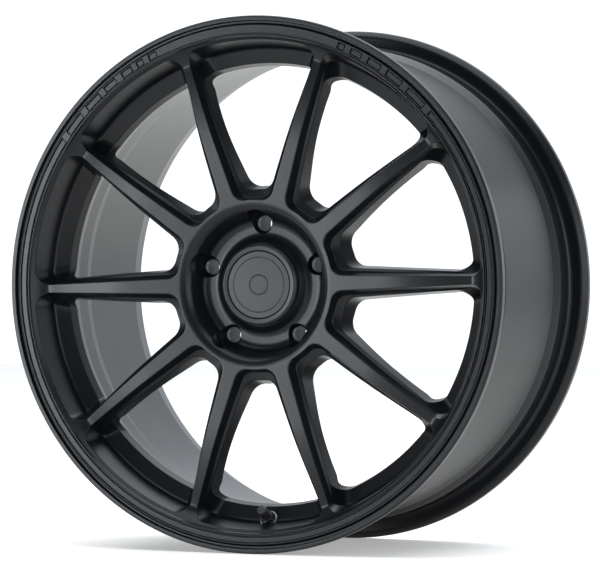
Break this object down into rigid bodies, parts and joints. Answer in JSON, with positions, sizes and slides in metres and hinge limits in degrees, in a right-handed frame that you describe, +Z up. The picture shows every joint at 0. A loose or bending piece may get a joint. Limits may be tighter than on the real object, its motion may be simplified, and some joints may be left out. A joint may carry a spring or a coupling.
{
  "type": "racing wheel rim",
  "caption": "Forged multi-spoke racing wheel with a deep dish hub, stepped spokes, a snap-in centre cap and a clamp-in air valve.",
  "frame": {"origin": "the wheel's centre, on the axle line, midway between the two flanges", "axes": "+Y is the axle, pointing to the car; the outer face looks along -Y; +Z is up as the wheel stands, with its valve at the bottom"},
  "size_m": [0.4966, 0.242, 0.4966],
  "materials": {
    "satin_black": "forged aluminium under a satin black powder coat with a faint blue-grey sheen",
    "cap_black": "satin black painted plastic, slightly smoother than the wheel",
    "valve_black": "black anodised and moulded valve parts",
    "rubber": "moulded rubber",
    "bright_aluminium": "bright turned",
    "brass": "turned",
    "spring_steel": "drawn wire"
  },
  "bodies": {
    "wheel": {"rim_barrel": "satin_black", "hub_centre": "satin_black", "spoke_01": "satin_black", "spoke_02": "satin_black", "spoke_03": "satin_black", "spoke_04": "satin_black", "spoke_05": "satin_black", "spoke_06": "satin_black", "spoke_07": "satin_black", "spoke_08": "satin_black", "spoke_09": "satin_black", "spoke_10": "satin_black", "valve_stem": "valve_black", "valve_grommet": "rubber", "valve_washer": "bright_aluminium", "valve_nut": "valve_black", "valve_core_plug": "brass", "valve_core_packing": "rubber", "valve_core_spring": "spring_steel"},
    "centre_cap": {"cap_shell": "cap_black", "cap_face": "cap_black", "cap_retaining_ring": "spring_steel"},
    "valve_pin": {"valve_core_pin": "brass"},
    "valve_cap_carrier": {"valve_cap_seal": "rubber"},
    "valve_cap": {"valve_cap": "valve_black"}
  },
  "joints": [
    {"name": "cap_pull", "type": "slide", "parent": "wheel", "child": "centre_cap", "axis": [0, -1, 0], "range_m": [0, 0.06]},
    {"name": "valve_pin_press", "type": "slide", "parent": "wheel", "child": "valve_pin", "axis": [0.0092, 0.866, -0.4999], "range_m": [0, 0.0012], "stiffness_N_per_m": 700, "springref_m": -0.002, "deforming": ["valve_core_spring"]},
    {"name": "valve_cap_travel", "type": "slide", "parent": "wheel", "child": "valve_cap_carrier", "axis": [-0.0092, -0.866, 0.4999], "range_m": [0, 0.0095]},
    {"name": "valve_cap_turn", "type": "hinge", "parent": "valve_cap_carrier", "child": "valve_cap", "pos_m": [0.004, -0.086, -0.21796], "axis": [-0.0092, -0.866, 0.4999], "range_deg": [0, 4320]}
  ],
  "couplings": [
    {"joint": "valve_cap_turn", "follows": "valve_cap_travel", "rad_per_m": 7915.8}
  ]
}
